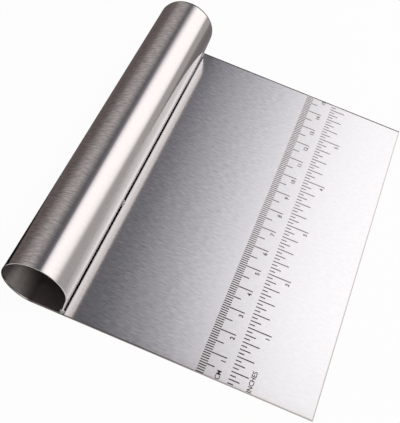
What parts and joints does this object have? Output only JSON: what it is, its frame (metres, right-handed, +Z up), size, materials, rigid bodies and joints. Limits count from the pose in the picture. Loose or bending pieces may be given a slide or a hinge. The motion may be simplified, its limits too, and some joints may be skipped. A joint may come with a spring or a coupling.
{
  "type": "dough scraper",
  "caption": "Dough scraper bent from brushed stainless sheet: a flat blade with a measuring scale, its back edge rolled over into an open tube handle and tack welded along the seam.",
  "frame": {"origin": "on the surface that the blade lies on, under the middle of the whole tool", "axes": "+X from the handle to the scraping edge, +Y along the handle from its front end to its back end, +Z up out of the blade's marked face"},
  "size_m": [0.1186, 0.149, 0.0246],
  "materials": {
    "brushed_stainless": "brushed across the handle, from the handle to the scraping edge",
    "weld_metal": "fused bead, left as welded",
    "etched_mark": "dark marks etched into the blade"
  },
  "bodies": {
    "root": {"rolled_sheet": "brushed_stainless", "tack_weld_front": "weld_metal", "tack_weld_middle": "weld_metal", "tack_weld_back": "weld_metal"}
  },
  "joints": []
}
